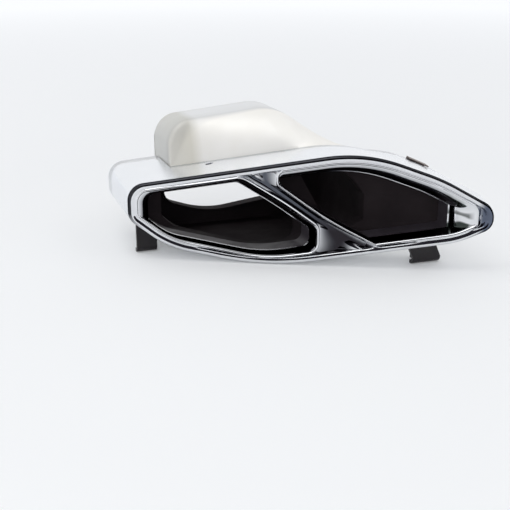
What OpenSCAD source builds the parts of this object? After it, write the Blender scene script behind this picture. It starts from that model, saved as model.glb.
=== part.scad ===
// Twin-mouth exhaust tip for a bumper cut-out. A pressed and polished face frame carries two
// mouths and a slanted divider. A polished collar runs back from its rim, black liners follow
// the throats, and a drawn rear housing with a rounded dome takes the oval inlet duct.
// The tip faces -Y, its pipe enters from +Y, and it stands on two folded feet and the housing.

/* [Face] */
// Width of the face, along its sweep
face_w = 243.4; // [236:0.2:254]
// Height of the face
face_h = 75.2; // [73:0.2:82]
// Sweep of the face in plan, the right end being further forward
face_sweep = 26; // [20:1:30]
// Gap under the lowest point of the rim
rim_clear = 1.0; // [0.6:0.1:4]
// Width of the rim above the mouths
rim_top_w = 5.7; // [5.2:0.1:7]
// Width of the rim below the mouths and at the left end
rim_w = 6.8; // [6:0.1:8]
// Width of the rim at the pointed right end
rim_end_w = 11.5; // [9:0.5:14]
// Thickness of the pressed face sheet
face_sheet = 1.3; // [1:0.1:1.6]

/* [Divider] */
// Slope of the divider, falling to the right
divider_slope = 34.6; // [32:0.2:37]
// Width of the divider at its waist
divider_w = 8.6; // [7.6:0.2:10]
// Depth of the valley between the divider's two lips
valley_depth = 3.6; // [2.5:0.1:4.5]
// Place of the left mouth's blunt end, along the face from its centre
left_nose_s = 6.9; // [4:0.1:10]
// Place of the right mouth's blunt end, along the face from its centre
right_nose_s = -19.3; // [-22:0.1:-17]

/* [Throats] */
// Depth of both throats behind the face
throat_depth = 15; // [13:0.5:17]
// Inward draw of the left throat's upper wall
left_throat_in = 5; // [3:0.2:6]
// Inward draw of the left throat along the divider
left_divider_in = 3.6; // [2.6:0.1:4.4]
// Inward draw of the left throat at its rounded end
left_throat_end_in = 9.5; // [7:0.5:11]
// Inward draw of the right throat's upper wall
right_throat_in = 6.5; // [5:0.1:7]
// Inward draw of the right throat at its pointed end
right_throat_end_in = 10.8; // [8:0.2:13]

/* [Collar] */
// Thickness of the collar's sheet
collar_sheet = 1.3; // [1:0.1:1.5]
// Depth of the collar behind the face, where the housing sits on it
collar_depth = 36; // [32:0.5:42]
// Depth of the collar at the left end, beside the housing
collar_left_depth = 72; // [60:1:78]
// Depth of the collar at the pointed right end
collar_right_depth = 12; // [11:0.5:20]
// Rise of the collar's rear edge above the rim's line, right of the housing
collar_rise = 3.6; // [0:0.2:4.2]
// Length of the drain slot in the collar's top
slot_l = 5.2; // [3.5:0.1:7]
// Width of the drain slot
slot_w = 3.4; // [2.5:0.1:5]

/* [Liners] */
// Thickness of the liners' sheet
liner_sheet = 1.0; // [0.8:0.1:1.2]
// Width of the liners' straight band behind the throats
liner_band = 14; // [12:0.5:15]
// Length of the liners' reach into the housing
liner_reach = 8; // [4:0.5:14]

/* [Housing] */
// Left side of the housing, from the face's centre
housing_left = -74.6; // [-77:0.2:-73]
// Right side of the housing where it leaves the collar
housing_right = 51; // [48:0.5:55]
// Right side of the housing at its rear end
housing_rear_right = 36.5; // [34:0.5:42]
// Left side of the housing's lower half, inside the collar's left end
housing_low_left = -85; // [-87:0.2:-82]
// Height of the housing's crown
housing_h = 95.6; // [92:0.2:99]
// Distance from the face's centre back to the housing's shoulder
shoulder_y = 80.5; // [76:0.5:88]
// Distance from the face's centre back to the housing's rear wall
housing_y = 118; // [112:0.5:124]
// Thickness of the housing's sheet
housing_sheet = 1.3; // [1:0.1:1.6]

/* [Inlet duct] */
// Width of the oval inlet, outside
duct_w = 95.6; // [90:0.2:97]
// Height of the oval inlet, outside
duct_h = 76; // [72:0.5:78]
// Thickness of the duct's sheet
duct_sheet = 1.1; // [0.8:0.1:1.5]
// Length of the duct inside the housing
duct_l = 8; // [6:1:20]
// Width of the duct's rolled lip
duct_lip = 3; // [2:0.2:4]

/* [Feet] */
// Width of the left foot
left_foot_w = 14.4; // [12:0.2:17]
// Width of the right foot
right_foot_w = 20.6; // [16:0.2:23]
// Place of the left foot across the tip
left_foot_x = -95.4; // [-98:0.2:-92]
// Place of the right foot across the tip
right_foot_x = 79; // [76:0.5:80]
// Distance from the face back to both feet
foot_set_back = 17; // [14:0.5:22]
// Sideways lean of the right foot's plate
right_foot_lean = 24; // [0:1:26]
// Length of each foot on the ground
foot_l = 16; // [14:0.5:20]
// Thickness of the feet's sheet
foot_sheet = 2.5; // [2:0.1:3]
// Diameter of the fixing hole in each foot
foot_bore_d = 5.5; // [4.5:0.1:6]

/* [Edge clip] */
// Width of the spring clip on the collar's rear edge
clip_w = 12; // [8:0.5:15]
// Length of the clip's outer leaf
clip_l = 5; // [3:0.5:9]
// Thickness of the clip's sheet
clip_sheet = 0.8; // [0.6:0.1:1]
// Place of the clip along the face from its centre
clip_s = 85.5; // [78:0.5:88]

/* [Hidden] */

// Clearance between sheets that lie on each other
slip = 0.2;
// Widening of the housing's left flank from the shoulder to the rear wall
housing_spread = 0.8;
// Facets in each bend of an outline, an even number
bend_n = 6;

half_w = face_w / 2;
half_h = face_h / 2;
lift = half_h + rim_clear;
along = cos(face_sweep);
forward = sin(face_sweep);

// The face's outline, clockwise from the upper left, as [along the face, height, bend radius].
// Heights and lengths count from the centre of the face.
leaf = [
    [-half_w, half_h - 24.6, 18],
    [37.4, half_h + 3.3, 112],
    [half_w - 33.7, half_h - 13.4, 120],
    [half_w, 6.3, 12],
    [half_w, -7.7, 10],
    [half_w - 21.7, 19 - half_h, 60],
    [-27.2, -half_h - 3.6, 235],
    [26 - half_w, 8 - half_h, 64],
    [-half_w, 26.7 - half_h, 10]
];
// Places of the bends that the halves of the outline meet beside
TOP_EDGE = 0;
LOW_EDGE = 5;
LEFT_LOW_EDGE = 6;

// Plane geometry
function flat(p) = [p[0], p[1]];
function unit(v) = v / norm(v);
function inward(v) = [v[1], -v[0]];
function cross2(a, b) = a[0] * b[1] - a[1] * b[0];
function meet(p, u, q, w) = p + u * cross2(q - p, w) / cross2(u, w);
function mix(a, b, t) = a + (b - a) * t;
function smooth(t) = let (c = max(0, min(1, t))) c * c * (3 - 2 * c);
function edge(c, i) = flat(c[(i + 1) % len(c)]) - flat(c[i]);
function last(p) = p[len(p) - 1];
function but_last(p) = [for (i = [0 : len(p) - 2]) p[i]];

// The outline c with edge i moved inwards by d[i]
function inset(c, d) = [for (i = [0 : len(c) - 1])
    let (
        before = (i + len(c) - 1) % len(c),
        u = unit(edge(c, before)),
        w = unit(edge(c, i)),
        p = abs(cross2(u, w)) < 0.001 ? flat(c[i]) + inward(w) * d[i]
            : meet(flat(c[i]) + inward(u) * d[before], u, flat(c[i]) + inward(w) * d[i], w)
    )
    [p[0], p[1], max(0.6, c[i][2] - min(d[before], d[i]))]];
function inset_all(c, d) = inset(c, [for (i = c) d]);

// The bend of radius r at corner b, limited to its share of both edges
function bend(a, b, c, r) =
    let (
        u = unit(a - b),
        w = unit(c - b),
        half = acos(max(-1, min(1, u * w))) / 2,
        straight = half > 89,
        room = 0.48 * min(norm(a - b), norm(c - b)),
        reach = straight ? room / 2 : min(r / tan(half), room),
        mid = straight ? b : b + unit(u + w) * reach / cos(half),
        from = b + u * reach - mid,
        to = b + w * reach - mid,
        turn = straight ? 0 : atan2(cross2(from, to), from * to)
    )
    [for (k = [0 : bend_n])
        straight ? mix(b + u * reach, b + w * reach, k / bend_n)
        : mid + [
            from[0] * cos(turn * k / bend_n) - from[1] * sin(turn * k / bend_n),
            from[0] * sin(turn * k / bend_n) + from[1] * cos(turn * k / bend_n)
        ]];
function bends(c) = [for (i = [0 : len(c) - 1])
    bend(flat(c[(i + len(c) - 1) % len(c)]), flat(c[i]), flat(c[(i + 1) % len(c)]), c[i][2])];
function span(a, b, n) = [for (k = [1 : n]) mix(a, b, k / n)];

// The closed outline c, with n[i] facets on its edge i
function outline(c, n) =
    let (b = bends(c), m = len(c))
    [for (i = [0 : m - 1]) each concat(b[i], but_last(span(last(b[i]), b[(i + 1) % m][0], n[i])))];

// A stretch of outline c from the middle of bend i to the middle of bend j
function stretch(c, i, j, n) =
    let (b = bends(c), m = len(c), count = (j - i + m) % m, h = bend_n / 2)
    concat(
        [for (k = [h : bend_n]) b[i][k]],
        [for (k = [1 : count])
            let (here = (i + k) % m, before = (i + k - 1) % m)
            each concat(
                span(last(b[before]), b[here][0], n[k - 1]),
                [for (q = [1 : (k == count ? h : bend_n)]) b[here][q]]
            )]
    );

// A stretch of outline c between points on two of its edges, round the bends in the list `at`
function between(c, from, at, to, n) =
    let (all_bends = bends(c), m = len(at), b = [for (i = at) all_bends[i]], h = bend_n / 2)
    concat(
        [from],
        span(from, b[0][0], n[0] + h),
        [for (i = [0 : m - 1]) each concat(
            [for (q = [1 : bend_n]) b[i][q]],
            i == m - 1 ? span(last(b[i]), to, n[m] + h) : span(last(b[i]), b[i + 1][0], n[i + 1])
        )]
    );

// Divider
divider_mid = [0, -1.1];
divider_dir = [cos(divider_slope), -sin(divider_slope)];
waist_shift = 15;
waist_bend_r = 250;
left_flare = 4.7;
right_flare = 8.3;
function divider_top(c) = meet(divider_mid, divider_dir, flat(c[TOP_EDGE]), unit(edge(c, TOP_EDGE)));
function divider_low(c) = meet(divider_mid, divider_dir, flat(c[LOW_EDGE]), unit(edge(c, LOW_EDGE)));

// Facets on the straight edges of each half of the face, and on the divider
left_edges = [3, 4, 2, 1, 4];
right_edges = [2, 2, 2, 1, 1, 3];
inner_edges = [6, 6, 2];
divider_n = 30;

// One ring round the whole face, d inside its outline, clockwise from the divider's low end
function left_half(d) =
    let (c = inset_all(leaf, d))
    between(c, divider_low(c), [6, 7, 8, 0], divider_top(c), left_edges);
function right_half(d) =
    let (c = inset_all(leaf, d))
    between(c, divider_top(c), [1, 2, 3, 4, 5], divider_low(c), right_edges);
function face_ring(d) = concat(but_last(left_half(d)), but_last(right_half(d)));
left_count = len(left_half(0)) - 1;
ring_count = len(face_ring(0));

// The mouths, between the rim and the divider
inner = inset(leaf, [rim_top_w, rim_top_w, rim_top_w, rim_end_w, rim_w, rim_w, rim_w, rim_w, rim_w]);
function tilted(a) = [cos(divider_slope - a), -sin(divider_slope - a)];
left_waist = divider_mid - divider_dir * waist_shift + inward(divider_dir) * divider_w / 2;
right_waist = divider_mid + divider_dir * waist_shift - inward(divider_dir) * divider_w / 2;
function on_inner(i, p, u) = meet(flat(inner[i]), unit(edge(inner, i)), p, u);
left_peak = on_inner(TOP_EDGE, left_waist, tilted(left_flare));
left_tip = meet(left_waist, divider_dir, [left_nose_s, 0], [0, 1]);
left_heel = on_inner(LOW_EDGE, [left_nose_s, 0], [0, 1]);
right_peak = on_inner(TOP_EDGE, [right_nose_s, 0], [0, 1]);
right_tip = meet(right_waist, divider_dir, [right_nose_s, 0], [0, 1]);
right_heel = on_inner(LOW_EDGE, right_waist, tilted(right_flare));
left_mouth = [
    [left_heel[0], left_heel[1], 7],
    inner[6], inner[7], inner[8], inner[0],
    [left_peak[0], left_peak[1], 12],
    [left_waist[0], left_waist[1], waist_bend_r],
    [left_tip[0], left_tip[1], 4]
];
right_mouth = [
    [right_peak[0], right_peak[1], 6],
    inner[1], inner[2], inner[3], inner[4], inner[5],
    [right_heel[0], right_heel[1], 3],
    [right_waist[0], right_waist[1], waist_bend_r],
    [right_tip[0], right_tip[1], 3]
];
// The throats' lower walls run almost straight back, the upper ones and the ends draw in
straight_in = 0.3;
right_divider_in = 1.1;
right_nose_in = 4;
left_throat = inset(left_mouth, [
    straight_in, straight_in, 3 * straight_in, left_throat_end_in,
    left_throat_in, left_divider_in, left_divider_in, straight_in
]);
right_throat = inset(right_mouth, [
    right_throat_in, right_throat_in, right_throat_in, right_throat_end_in, straight_in,
    straight_in, right_divider_in, right_divider_in, right_nose_in
]);

// The divider's side of every ring is cut at the same shares of its length, closer at both ends
function share(k) = let (t = k / divider_n) mix(t, (1 - cos(180 * t)) / 2, 0.6);
function lengths(p, i = 0, sum = 0) = i >= len(p) - 1 ? [sum]
    : concat([sum], lengths(p, i + 1, sum + norm(p[i + 1] - p[i])));
function shared(p) =
    let (
        run = lengths(p),
        xs = [for (i = [0 : len(p) - 1]) [run[i], p[i][0]]],
        zs = [for (i = [0 : len(p) - 1]) [run[i], p[i][1]]]
    )
    [for (k = [0 : divider_n - 1]) [lookup(share(k) * last(run), xs), lookup(share(k) * last(run), zs)]];
function left_ring(c) =
    concat(but_last(stretch(c, 0, 5, left_edges)), shared(stretch(c, 5, 0, inner_edges)));
function right_ring(c) =
    concat(but_last(stretch(c, 0, 6, right_edges)), shared(stretch(c, 6, 0, inner_edges)));

// A point of the face's plane, y behind it, in space
function on_face(p, y) = [p[0] * along, y - p[0] * forward, p[1] + lift];
function ring_on_face(ring, y) = [for (p = ring) on_face(p, y)];

// Solids from rings of points
function strip(a, b) = [for (k = [0 : len(a) - 1])
    let (n = (k + 1) % len(a))
    each [[a[k], a[n], b[n]], [a[k], b[n], b[k]]]];
function ribbon(a, b) = [for (k = [0 : len(a) - 2])
    each [[a[k], a[k + 1], b[k + 1]], [a[k], b[k + 1], b[k]]]];
function run_of(start, count) = [for (k = [0 : count - 1]) start + k];
function flatten(lists) = [for (a = lists) each a];

// A tube whose wall is the closed series of rings, all of one length
module ring_tube(rings) {
    n = len(rings[0]);
    m = len(rings);
    polyhedron(
        points = flatten(rings),
        faces = flatten([for (i = [0 : m - 1]) strip(run_of(((i + 1) % m) * n, n), run_of(i * n, n))]),
        convexity = 8
    );
}

// Rim section, from the back of the inner skirt round the bead to the foot of the mouths' lips,
// as [distance inside the outline, depth behind the face]
skirt_end = 10;
skirt_in = collar_sheet + slip;
seam_y = 3.2;
bead_side_y = 2.2;
bead_shoulder = 0.7;
bead_crest_in = 2.2;
bead_foot_in = 3.9;
bead_foot_y = 0.9;
rim_section = [
    [bead_foot_in, bead_foot_y + face_sheet],
    [skirt_in + face_sheet, seam_y + face_sheet],
    [skirt_in + face_sheet, skirt_end],
    [skirt_in, skirt_end],
    [skirt_in, seam_y],
    [0, seam_y],
    [0, bead_side_y],
    [bead_shoulder, bead_shoulder],
    [bead_crest_in, 0],
    [bead_foot_in, bead_foot_y]
];
rim_rings = len(rim_section);

// Lip and throat section of a mouth
lip_foot_out = 1.9;
lip_crest_out = 0.9;
lip_crest_y = 0.4;
lip_y = 1.2;
// Depths behind the face between bead and lip: at the lip's foot, there in a pocket, and of the
// sheet's back behind the lip
foot_y = 1.1;
pocket_foot_y = 1.9;
lip_back_y = 2.8;
// Place of the ring between bead and lip, and the widths between which a pocket deepens
gutter_at = 0.4;
pocket_from = 2.5;
pocket_over = 4.5;
throat_steps = [[0.35, 0.12], [0.7, 0.42]];

// The ring of a cell of the face: its part of the bead's foot and its side of the divider.
// Where the ring lies far from the lip, as in the pockets at both ends of the divider, the
// face is pressed back to the valley's depth.
function pocket(a, b) = smooth((norm(a - b) - pocket_from) / pocket_over);
function cell_rings(border, mouth, throat, sampler) =
    let (
        edge_of = function (g) sampler(inset_all(mouth, -g)),
        back_of = sampler(throat),
        lip = edge_of(0),
        foot = edge_of(lip_foot_out),
        crest = edge_of(lip_crest_out),
        lip_back = edge_of(face_sheet),
        throat_back = sampler(inset_all(throat, -face_sheet)),
        deep = [for (k = [0 : len(lip) - 1]) pocket(border[k], foot[k])]
    )
    concat(
        [[for (k = [0 : len(lip) - 1])
            on_face(mix(border[k], foot[k], gutter_at), mix(foot_y, valley_depth, deep[k]))]],
        [[for (k = [0 : len(lip) - 1]) on_face(foot[k], mix(foot_y, pocket_foot_y, deep[k]))]],
        [ring_on_face(crest, lip_crest_y)],
        [ring_on_face(lip, lip_y)],
        [for (s = throat_steps)
            [for (k = [0 : len(lip) - 1])
                on_face(mix(lip[k], back_of[k], s[0]), mix(lip_y, throat_depth, s[1]))]],
        [ring_on_face(back_of, throat_depth)],
        [ring_on_face(throat_back, throat_depth)],
        [for (s = [throat_steps[1], throat_steps[0]])
            [for (k = [0 : len(lip) - 1])
                on_face(mix(lip_back[k], throat_back[k], s[0]),
                    mix(lip_y + face_sheet, throat_depth, s[1]))]],
        [[for (k = [0 : len(lip) - 1])
            on_face(mix(lip_back[k], foot[k], 0.5), mix(lip_back_y, valley_depth + face_sheet, deep[k]))]]
    );

// Face frame: the rim, both lips, the divider's valley and both throats, pressed in one piece
module bezel() {
    rim_points = flatten([for (q = rim_section) ring_on_face(face_ring(q[0]), q[1])]);
    foot_ring = face_ring(bead_foot_in);
    top = foot_ring[left_count];
    low = foot_ring[0];
    ends = 0.12;
    valley = [for (k = [1 : divider_n - 1]) mix(top, low, share(k))];
    valley_y = [for (k = [1 : divider_n - 1])
        mix(bead_foot_y, valley_depth, smooth(min(share(k), 1 - share(k)) / ends))];
    valley_front = [for (k = [0 : divider_n - 2]) on_face(valley[k], valley_y[k])];
    valley_back = [for (k = [0 : divider_n - 2]) on_face(valley[k], valley_y[k] + face_sheet)];
    left_border = concat([for (k = [0 : left_count - 1]) foot_ring[k]], [top], valley);
    right_border = concat(
        [for (k = [left_count : ring_count - 1]) foot_ring[k]],
        [low],
        [for (k = [divider_n - 2 : -1 : 0]) valley[k]]
    );
    left_rings = cell_rings(left_border, left_mouth, left_throat, function (c) left_ring(c));
    right_rings = cell_rings(right_border, right_mouth, right_throat, function (c) right_ring(c));
    left_n = len(left_border);
    right_n = len(right_border);
    cell_m = len(left_rings);

    valley_at = rim_rings * ring_count;
    left_at = valley_at + 2 * (divider_n - 1);
    right_at = left_at + cell_m * left_n;

    // The borders of both cells, as places in the list of points, in front and at the back
    front = run_of((rim_rings - 1) * ring_count, ring_count);
    back = run_of(0, ring_count);
    front_valley = run_of(valley_at, divider_n - 1);
    back_valley = run_of(valley_at + divider_n - 1, divider_n - 1);
    function left_loop(ring, valley) = concat([for (k = [0 : left_count]) ring[k]], valley);
    function right_loop(ring, valley) = concat(
        [for (k = [left_count : ring_count - 1]) ring[k]],
        [ring[0]],
        [for (k = [divider_n - 2 : -1 : 0]) valley[k]]
    );
    function cell_faces(first, at, n, final) = concat(
        strip(first, run_of(at, n)),
        flatten([for (i = [0 : cell_m - 2]) strip(run_of(at + i * n, n), run_of(at + (i + 1) * n, n))]),
        strip(run_of(at + (cell_m - 1) * n, n), final)
    );
    color("gainsboro")
    polyhedron(
        points = concat(rim_points, valley_front, valley_back, flatten(left_rings), flatten(right_rings)),
        faces = concat(
            flatten([for (i = [0 : rim_rings - 2])
                strip(run_of(i * ring_count, ring_count), run_of((i + 1) * ring_count, ring_count))]),
            cell_faces(left_loop(front, front_valley), left_at, left_n, left_loop(back, back_valley)),
            cell_faces(right_loop(front, front_valley), right_at, right_n, right_loop(back, back_valley))
        ),
        convexity = 10
    );
}

// Collar: a band behind the rim, drawn out further at the left end beside the housing
notch_s = (housing_left - housing_spread - 2 * slip) / along;
low_notch_s = (housing_low_left - housing_spread - 2 * slip) / along;
function past_notch(p) = p[0] - (p[1] > 0 ? notch_s : low_notch_s);
taper_s = 84;
function collar_rear(s) = mix(collar_depth, collar_right_depth, smooth((s - taper_s) / (half_w - taper_s)));
// A point of the collar's outline, raised as at its rear edge
rise_before = 4;
rise_over = 13;
rise_height = 10;
function risen(p) =
    p[1] > 0 ? [p[0], p[1] + collar_rise * smooth((p[0] - housing_right / along + rise_before) / rise_over)
        * smooth(p[1] / rise_height)]
    : p;
// Facets on the edges of the whole outline, and the places of two of its points, one on the
// right of the notch and one on its left
collar_edges = [8, 2, 2, 1, 2, 4, 3, 2, 1];
function rolled(p, i) = [for (k = [0 : len(p) - 1]) p[(k + i) % len(p)]];
function whole_outline(d) = outline(inset_all(leaf, d), collar_edges);
right_start = 4 * (bend_n + 1);
left_start = len(whole_outline(0)) - bend_n / 2;
upper_points = [for (p = whole_outline(0)) if (p[1] > 0) p];
lower_points = [for (p = whole_outline(0)) if (p[1] < 0) p];
function top_z(s) = lookup(s, upper_points);
function low_z(s) = lookup(s, lower_points);
function under_z(x) = low_z(x / along) + lift;
// The part of ring p on one side of the notch, cut where the ring `guide` crosses it
function part_of(p, guide, side) = [for (i = [0 : len(p) - 1])
    let (
        n = (i + 1) % len(p),
        here = past_notch(guide[i]) * side,
        next = past_notch(guide[n]) * side
    )
    each concat(here > 0 ? [p[i]] : [], here * next < 0 ? [mix(p[i], p[n], here / (here - next))] : [])];
module collar() {
    guide = whole_outline(0);
    inside = whole_outline(collar_sheet);
    function left_part(p) = part_of(rolled(p, right_start), rolled(guide, right_start), -1);
    function right_part(p) = part_of(rolled(p, left_start), rolled(guide, left_start), 1);
    deep_n = len(left_part(guide));
    outer_ring = concat(but_last(left_part(guide)), but_last(right_part(guide)));
    inner_ring = concat(but_last(left_part(inside)), but_last(right_part(inside)));
    n = len(outer_ring);
    deep = [for (k = [0 : deep_n - 1]) k];
    shallow = concat([for (k = [deep_n - 1 : n - 1]) k], [0]);
    function rear_ring(ring) = [for (p = ring) on_face(risen(p), collar_rear(p[0]))];
    function at(start, list) = [for (k = list) start + k];
    rings = [
        ring_on_face(inner_ring, seam_y),
        ring_on_face(outer_ring, seam_y),
        rear_ring(outer_ring),
        rear_ring(inner_ring)
    ];
    deep_outer = [for (k = deep) on_face(outer_ring[k], collar_left_depth)];
    deep_inner = [for (k = deep) on_face(inner_ring[k], collar_left_depth)];
    deep_at = 4 * n;
    outer_rear = at(2 * n, deep);
    inner_rear = at(3 * n, deep);
    far_outer = at(deep_at, deep);
    far_inner = at(deep_at + deep_n, deep);
    low_end = [inner_rear[0], far_inner[0], far_outer[0], outer_rear[0]];
    high_end = [last(outer_rear), last(far_outer), last(far_inner), last(inner_rear)];
    color("lightsteelblue")
    difference() {
        polyhedron(
            points = concat(flatten(rings), deep_outer, deep_inner),
            faces = concat(
                strip(run_of(n, n), run_of(0, n)),
                strip(run_of(2 * n, n), run_of(n, n)),
                ribbon(at(3 * n, shallow), at(2 * n, shallow)),
                ribbon(far_outer, outer_rear),
                ribbon(far_inner, far_outer),
                ribbon(inner_rear, far_inner),
                [[low_end[0], low_end[1], low_end[2]], [low_end[0], low_end[2], low_end[3]]],
                [[high_end[0], high_end[1], high_end[2]], [high_end[0], high_end[2], high_end[3]]],
                strip(run_of(0, n), run_of(3 * n, n))
            ),
            convexity = 8
        );
        drain_slot();
    }
}

// Drain slot through the collar's top, just in front of the housing
slot_s = -58;
slot_y = collar_depth - 8;
slot_cut = 12;
module drain_slot() {
    at = on_face([slot_s, top_z(slot_s)], slot_y);
    translate([at[0], at[1], at[2] - slot_cut / 2])
    linear_extrude(height = slot_cut)
    for (side = [-1, 1])
    translate([side * (slot_l - slot_w) / 2, 0])
    circle(d = slot_w, $fn = 24);
}

// Liners: sleeves from the throats' rear edges into the housing
liner_end = collar_depth + liner_reach;
liner_flare = 2.6;
liner_side_gap = 2.2;
left_liner_limits = [housing_low_left / along + housing_sheet + liner_side_gap, 6];
right_liner_limits = [8, housing_right / along - housing_sheet - liner_side_gap - 1.5];
function drawn_in(ring, from, to) = [for (p = ring)
    [mix(to[0], to[1], (p[0] - from[0]) / (from[1] - from[0])), p[1]]];
function reach_of(ring) = [min([for (p = ring) p[0]]), max([for (p = ring) p[0]])];
// Straight behind the throat, the sleeve then narrows sideways and opens at the bottom
module liner(throat, flare, limits, sampler) {
    band_end = throat_depth + liner_band;
    neck = collar_depth - 1;
    inside = sampler(throat);
    outside = sampler(inset_all(throat, -liner_sheet));
    wide = inset(throat, flare);
    reach = reach_of(inside);
    wide_in = drawn_in(sampler(wide), reach, limits);
    wide_out = drawn_in(sampler(inset_all(wide, -liner_sheet)), reach, limits);
    ring_tube([
        ring_on_face(inside, throat_depth),
        ring_on_face(outside, throat_depth),
        ring_on_face(outside, band_end),
        ring_on_face(wide_out, neck),
        ring_on_face(wide_out, liner_end),
        ring_on_face(wide_in, liner_end),
        ring_on_face(wide_in, neck),
        ring_on_face(inside, band_end)
    ]);
}
module left_liner() {
    color("dimgray")
    liner(left_throat, [-liner_flare, -liner_flare, -liner_flare, 0, 0, 0, 0, 0], left_liner_limits,
        function (c) left_ring(c));
}
module right_liner() {
    color("dimgray")
    liner(right_throat, [0, 0, 0, 0, -liner_flare, -liner_flare, 0, 0, 0], right_liner_limits,
        function (c) right_ring(c));
}

// Housing sections, clockwise from the upper left: upper left, crown, upper right, lower right,
// bottom, lower left, and the belly and waist of the left flank, which bulges out into the
// collar's left end below the collar's top
section_edges = [3, 3, 2, 2, 2, 2, 1, 1];
left_s = housing_left / along;
low_left_s = housing_low_left / along;
belly_z = 49;
waist_z = 54.8;
belly_r = 7;
waist_r = 6;
right_s = housing_right / along;
function on_leaf(i, s) = meet([s, 0], [0, 1], flat(leaf[i]), unit(edge(leaf, i)));
function seat_corner(i, s, r) = let (p = on_leaf(i, s)) [p[0], p[1], r];
crown_s = 4;
seat_lift = 0.5;
seat = [
    seat_corner(TOP_EDGE, left_s, 5),
    seat_corner(TOP_EDGE, crown_s, 60),
    [right_s, top_z(right_s), 8],
    seat_corner(LOW_EDGE, right_s, 8),
    [leaf[LEFT_LOW_EDGE][0], leaf[LEFT_LOW_EDGE][1] + seat_lift, leaf[LEFT_LOW_EDGE][2]],
    seat_corner(LEFT_LOW_EDGE, low_left_s, 5),
    [low_left_s, belly_z - lift, belly_r],
    [left_s, waist_z - lift, waist_r]
];
// The seat's points moved from its straight edges to the collar's own curve
seat_top = [flat(seat[0]), flat(seat[1]), flat(seat[2])];
seat_low = [flat(seat[5]), flat(seat[4])];
seat_reach = 24;
function seated(p) =
    p[1] > 0 ? (p[0] > left_s + slip ? [p[0], p[1] + top_z(p[0]) - lookup(p[0], seat_top)] : p)
    : p[0] < low_left_s + seat_reach ? [p[0], p[1] + low_z(p[0]) - lookup(p[0], seat_low)] : p;
function seat_ring(d) = [for (p = outline(inset_all(seat, d), section_edges)) seated(p)];
crown_x = 4;
keel_x = -20;
left_drop = 8.1;
right_drop = 33.1;
shoulder = [
    [housing_left, housing_h - left_drop, 28],
    [crown_x, housing_h, 40],
    [housing_right, housing_h - right_drop, 14],
    [housing_right, 0, 24],
    [keel_x, 0, 100],
    [housing_low_left, 0, 22],
    [housing_low_left, belly_z, belly_r],
    [housing_left, waist_z, waist_r]
];
rear_right_drop = 19.6;
rear_sink = 1.8;
rear = [
    [housing_left - housing_spread, housing_h - left_drop - 1, 27],
    [crown_x - 1, housing_h - rear_sink, 30],
    [housing_rear_right, housing_h - rear_right_drop, 14],
    [housing_rear_right, 0, 28],
    [keel_x, 0, 100],
    [housing_low_left - housing_spread, 0, 24],
    [housing_low_left - housing_spread, belly_z, belly_r],
    [housing_left - housing_spread, waist_z, waist_r]
];
// The right flank's shoulder lies further back than the rest
flank_back = 22;
flank_from = 5;
flank_over = 40;
function shoulder_at(p, y) = [p[0], y + flank_back * smooth((p[0] - flank_from) / flank_over), p[1]];
function upright_at(p, y) = [p[0], y, p[1]];

// One line of the dome, from its seat on the collar over the bulge to the shoulder
dome_steps = [0.16, 0.36, 0.58, 0.8];
bulge = 0.3;
function dome_point(a, b, t) =
    let (knee = [b[0], mix(a[1], b[1], bulge), b[2]])
    a * (1 - t) * (1 - t) + knee * 2 * t * (1 - t) + b * t * t;
function dome_rings(from, to, steps) = [for (t = steps)
    [for (k = [0 : len(from) - 1]) dome_point(from[k], to[k], t)]];
function reversed(a) = [for (i = [len(a) - 1 : -1 : 0]) a[i]];

rear_bend = 3;
// Outline of the inlet duct
duct_left = housing_left + 2.5;
duct_low = 10.1;
duct_top = duct_low + duct_h;
duct_right = duct_left + duct_w;
duct = [
    [duct_left, duct_top - 6, 26],
    [mix(duct_left, duct_right, 0.6), duct_top, 60],
    [duct_right, duct_top - 9, 20],
    [duct_right, duct_low + 8, 12],
    [mix(duct_left, duct_right, 0.36), duct_low, 100],
    [duct_left, duct_low + 12, 12],
    [duct_left, belly_z - 4, 8],
    [duct_left, waist_z, 8]
];
function duct_ring(d, y) = [for (p = outline(inset_all(duct, d), section_edges)) upright_at(p, y)];

// Rear housing: a drawn pot, welded to the collar's rear edge, its rear wall turned in to the duct
module rear_housing() {
    t = housing_sheet;
    seat_out = ring_on_face(seat_ring(0), collar_depth);
    seat_in = ring_on_face(seat_ring(t), collar_depth);
    shoulder_out = [for (p = outline(shoulder, section_edges)) shoulder_at(p, shoulder_y)];
    shoulder_in = [for (p = outline(inset_all(shoulder, t), section_edges)) shoulder_at(p, shoulder_y + t)];
    function rear_ring(d, y) = [for (p = outline(inset_all(rear, d), section_edges)) upright_at(p, y)];
    color("beige")
    ring_tube(concat(
        [seat_in, seat_out],
        dome_rings(seat_out, shoulder_out, dome_steps),
        [
            shoulder_out,
            rear_ring(0, housing_y - rear_bend),
            rear_ring(rear_bend * 0.3, housing_y - rear_bend * 0.3),
            rear_ring(rear_bend, housing_y),
            duct_ring(-slip, housing_y),
            duct_ring(-slip, housing_y - t),
            rear_ring(rear_bend, housing_y - t),
            rear_ring(t, housing_y - rear_bend),
            shoulder_in
        ],
        reversed(dome_rings(seat_in, shoulder_in, dome_steps))
    ));
}

// Inlet duct: an oval sleeve with a rolled lip that seats on the housing's rear wall
module inner_duct() {
    lip_y0 = housing_y + slip;
    color("dimgray")
    ring_tube([
        duct_ring(duct_sheet, housing_y - duct_l),
        duct_ring(0, housing_y - duct_l),
        duct_ring(0, lip_y0),
        duct_ring(-duct_lip, lip_y0),
        duct_ring(-duct_lip, lip_y0 + duct_sheet),
        duct_ring(duct_sheet, lip_y0 + duct_sheet)
    ]);
}

// Feet: folded angles, cut at the top to the collar's underside
foot_bend_r = 2;
bend_top = foot_sheet + foot_bend_r;
// Height at which a line from x, leaning to the left, meets the collar's underside
function plate_top(x, shift, z, i = 4) = i == 0 ? z - slip
    : plate_top(x, shift, under_z(x - (z - bend_top) * shift), i - 1);
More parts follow.
